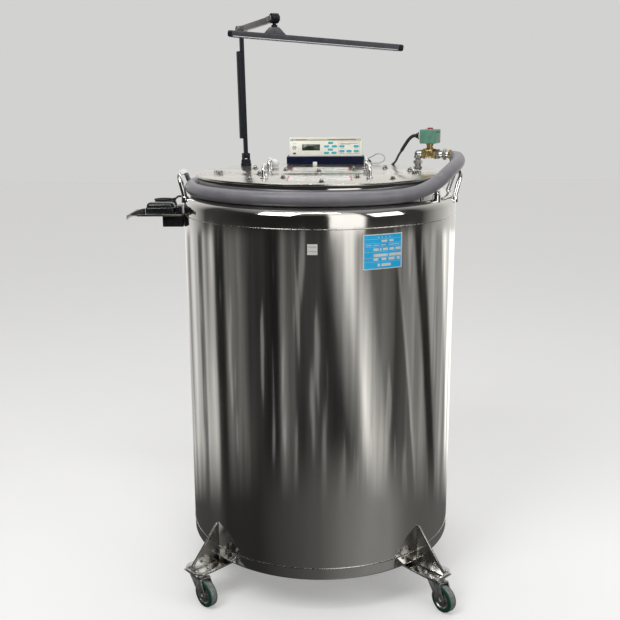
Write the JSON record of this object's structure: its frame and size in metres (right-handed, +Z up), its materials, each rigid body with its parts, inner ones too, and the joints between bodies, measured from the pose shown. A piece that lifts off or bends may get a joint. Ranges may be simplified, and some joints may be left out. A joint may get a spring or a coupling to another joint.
{
  "type": "liquid nitrogen dewar",
  "caption": "Large-neck liquid nitrogen storage dewar on casters, with a split hinged lid, level controller, solenoid fill valve, lagged transfer hose, lamp and side shelf.",
  "frame": {"origin": "on the floor, at the middle of the footprint of everything but the free hose and leads", "axes": "+Z up along the drum's axis, -Y the front that the lid opens from, +X to the right when facing the front"},
  "size_m": [0.9717, 0.7914, 1.631],
  "materials": {
    "polished_steel": "mirror-polished stainless steel",
    "satin_steel": "satin stainless steel",
    "bright_chrome": "bright chrome plating",
    "brass": "machined brass",
    "reflective_foil": "aluminised film blanket",
    "white_foam": "closed-cell foam",
    "hose_lagging": "matt grey elastomer foam sleeve",
    "black_rubber": "matt",
    "black_plastic": "moulded, satin",
    "green_enamel": "satin enamel",
    "cream_enamel": "satin enamel",
    "cream_plastic": "satin",
    "navy_enamel": "satin",
    "white_plastic": "gloss",
    "lamp_grey": "dark anodised",
    "lamp_head_grey": "dark grey satin",
    "arm_grey": "satin grey",
    "caster_wheel": "green elastomer tyre on a steel hub"
  },
  "bodies": {
    "vessel": {"drum_wall": "polished_steel", "top_head": "polished_steel", "bottom_head": "polished_steel", "neck_collar": "polished_steel", "inner_vessel": "satin_steel", "insulation_blanket": "reflective_foil", "rack_floor": "satin_steel", "lid_gasket": "black_rubber", "rear_plate": "polished_steel", "rear_foam_plug": "white_foam", "rear_handle_left": "bright_chrome", "rear_handle_right": "bright_chrome", "side_grip_left": "bright_chrome", "side_grip_right": "bright_chrome", "vacuum_port": "bright_chrome", "level_probe": "white_plastic", "fill_riser": "satin_steel", "riser_elbow": "satin_steel", "valve_body": "brass", "valve_coil": "green_enamel", "cable_gland": "cream_plastic", "outlet_union": "satin_steel", "elbow_lagging": "hose_lagging", "transfer_hose": "hose_lagging", "hose_end_fitting": "brass", "controller_stand": "satin_steel", "controller_base": "navy_enamel", "controller_case": "cream_plastic", "solenoid_lead": "black_rubber", "sensor_lead": "black_rubber", "shelf_arm": "black_plastic", "shelf_tray": "satin_steel", "power_adapter": "black_plastic", "lead_coil": "black_rubber", "adapter_lead": "black_rubber", "bracket_front_left": "polished_steel", "bracket_front_right": "polished_steel", "bracket_rear_left": "polished_steel", "bracket_rear_right": "polished_steel", "lamp_foot": "black_plastic"},
    "lid": {"lid_plate": "polished_steel", "lid_foam_plug": "white_foam", "lid_hinge_left": "bright_chrome", "lid_hinge_right": "bright_chrome", "lid_handle_left": "bright_chrome", "lid_handle_right": "bright_chrome"},
    "caster_front_left": {"fork_front_left": "satin_steel"},
    "roller_front_left": {"wheel_front_left": "caster_wheel"},
    "caster_front_right": {"fork_front_right": "satin_steel"},
    "roller_front_right": {"wheel_front_right": "caster_wheel"},
    "caster_rear_left": {"fork_rear_left": "satin_steel"},
    "roller_rear_left": {"wheel_rear_left": "caster_wheel"},
    "caster_rear_right": {"fork_rear_right": "satin_steel"},
    "roller_rear_right": {"wheel_rear_right": "caster_wheel"},
    "lamp_turret": {"lamp_swivel": "black_plastic"},
    "lamp_lower": {"lower_arm": "lamp_grey"},
    "lamp_upper": {"upper_arm": "arm_grey"},
    "lamp_head": {"lamp_knuckle": "black_plastic"},
    "lamp_light": {"lamp_bar": "lamp_head_grey"}
  },
  "joints": [
    {"name": "lid_hinge", "type": "hinge", "parent": "vessel", "child": "lid", "pos_m": [0.06515, -0.038, 1.1948], "axis": [-1, 0, 0], "range_deg": [0, 95]},
    {"name": "swivel_front_left", "type": "hinge", "parent": "vessel", "child": "caster_front_left", "pos_m": [-0.2767, -0.3078, 0.09], "axis": [0, 0, 1], "continuous": true},
    {"name": "roll_front_left", "type": "hinge", "parent": "caster_front_left", "child": "roller_front_left", "pos_m": [-0.25407, -0.33043, 0.0375], "axis": [0.7071, 0.7071, 0], "continuous": true},
    {"name": "swivel_front_right", "type": "hinge", "parent": "vessel", "child": "caster_front_right", "pos_m": [0.39325, -0.32242, 0.09], "axis": [0, 0, 1], "continuous": true},
    {"name": "roll_front_right", "type": "hinge", "parent": "caster_front_right", "child": "roller_front_right", "pos_m": [0.41295, -0.34764, 0.0375], "axis": [0.788, 0.6157, 0], "continuous": true},
    {"name": "swivel_rear_left", "type": "hinge", "parent": "vessel", "child": "caster_rear_left", "pos_m": [-0.24857, 0.33642, 0.09], "axis": [0, 0, 1], "continuous": true},
    {"name": "roll_rear_left", "type": "hinge", "parent": "caster_rear_left", "child": "roller_rear_left", "pos_m": [-0.27628, 0.35242, 0.0375], "axis": [-0.5, -0.866, 0], "continuous": true},
    {"name": "swivel_rear_right", "type": "hinge", "parent": "vessel", "child": "caster_rear_right", "pos_m": [0.40157, 0.31372, 0.09], "axis": [0, 0, 1], "continuous": true},
    {"name": "roll_rear_right", "type": "hinge", "parent": "caster_rear_right", "child": "roller_rear_right", "pos_m": [0.40713, 0.34523, 0.0375], "axis": [-0.9848, 0.1736, 0], "continuous": true},
    {"name": "lamp_turn", "type": "hinge", "parent": "vessel", "child": "lamp_turret", "pos_m": [-0.16785, 0.239, 1.2], "axis": [0, 0, 1], "range_deg": [-150, 150]},
    {"name": "lower_arm_tilt", "type": "hinge", "parent": "lamp_turret", "child": "lamp_lower", "pos_m": [-0.16785, 0.239, 1.222], "axis": [-0.8625, -0.506, 0], "range_deg": [-30, 30]},
    {"name": "upper_arm_tilt", "type": "hinge", "parent": "lamp_lower", "child": "lamp_upper", "pos_m": [-0.17544, 0.25194, 1.6], "axis": [-0.8625, -0.506, 0], "range_deg": [-35, 50]},
    {"name": "knuckle_tilt", "type": "hinge", "parent": "lamp_upper", "child": "lamp_head", "pos_m": [-0.06259, 0.0596, 1.617], "axis": [-0.8625, -0.506, 0], "range_deg": [-15, 60]},
    {"name": "bar_turn", "type": "hinge", "parent": "lamp_head", "child": "lamp_light", "pos_m": [-0.06259, 0.0596, 1.593], "axis": [0, 0, 1], "range_deg": [-25, 75]}
  ]
}
